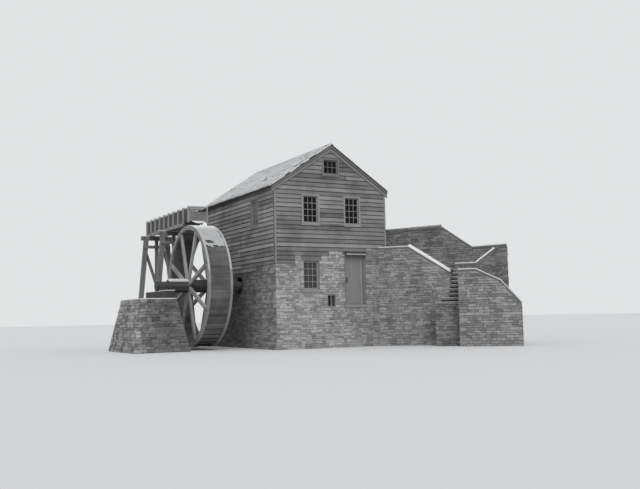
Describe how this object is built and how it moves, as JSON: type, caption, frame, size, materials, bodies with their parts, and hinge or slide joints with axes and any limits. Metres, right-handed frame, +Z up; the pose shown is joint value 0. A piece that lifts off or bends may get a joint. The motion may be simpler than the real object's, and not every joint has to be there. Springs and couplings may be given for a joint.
{
  "type": "watermill",
  "caption": "Overshot watermill: timber mill house on a stone ground storey, wooden wheel on a pier, flume on trestles, and flared stone walls with a stair.",
  "frame": {"origin": "middle of the front wall's foot, at the level where every wall, pier and post meets the ground", "axes": "+X to the right along the gable front, +Y into the house from the front, +Z up; the water wheel is on the -X side"},
  "size_m": [15.4672, 14.767, 8.446],
  "materials": {
    "masonry": "rough rubble laid in courses",
    "retaining": "rough rubble laid in courses",
    "clapboard": "weathered, unpainted boards",
    "shingle": "weathered shingles",
    "trim": "weathered, planed",
    "glass": "old window glass",
    "floor_boards": "worn boards",
    "dark_timber": "weathered, hewn",
    "door_boards": "weathered boards",
    "iron": "rusted black",
    "wheel_timber": "weathered, damp",
    "flume_timber": "weathered, sawn"
  },
  "bodies": {
    "building": {"front_wall_left": "masonry", "front_wall_right": "masonry", "front_wall_under_door": "masonry", "left_wall": "masonry", "shaft_surround": "masonry", "right_wall": "masonry", "back_wall": "masonry", "outer_pier": "masonry", "stone_sills": "masonry", "front_retaining_wall": "retaining", "upper_retaining_wall": "retaining", "ledge_wall": "retaining", "wing_wall": "retaining", "stair_side_wall": "retaining", "lower_steps": "retaining", "upper_steps": "retaining", "wall_copings": "retaining", "front_gable": "clapboard", "back_gable": "clapboard", "left_timber_wall": "clapboard", "right_timber_wall": "clapboard", "roof_left": "shingle", "roof_right": "shingle", "rake_boards": "trim", "front_window_frames": "trim", "side_window_frames": "trim", "window_sashes": "trim", "door_frame": "trim", "vent_frame": "trim", "window_glass": "glass", "ground_floor": "floor_boards", "timber_floors": "floor_boards", "front_lintels": "dark_timber", "door_hood": "dark_timber", "bearing_beam": "dark_timber", "bearing_blocks": "dark_timber", "upper_door": "door_boards", "door_pintles": "iron", "flume_floor": "flume_timber", "flume_sides": "flume_timber", "flume_end_board": "flume_timber", "flume_spout": "flume_timber", "flume_posts": "flume_timber", "flume_ties": "flume_timber", "flume_stringers": "flume_timber", "trestle_posts": "flume_timber", "trestle_caps": "flume_timber", "trestle_braces": "flume_timber"},
    "wheel": {"wheel_axle": "wheel_timber", "wheel_arms": "wheel_timber", "wheel_shrouds": "wheel_timber", "sole_boards": "wheel_timber", "bucket_bottoms": "wheel_timber", "bucket_fronts": "wheel_timber", "axle_bands": "iron"},
    "door": {"door_leaf": "door_boards", "door_latch": "iron", "door_straps": "iron"}
  },
  "joints": [
    {"name": "wheel_spin", "type": "hinge", "parent": "building", "child": "wheel", "pos_m": [-4.48, 3.444, 2.676], "axis": [1, 0, 0], "continuous": true},
    {"name": "door_swing", "type": "hinge", "parent": "building", "child": "door", "pos_m": [1.505, -0.066, 2.75], "axis": [0, 0, -1], "range_deg": [0, 90]}
  ]
}
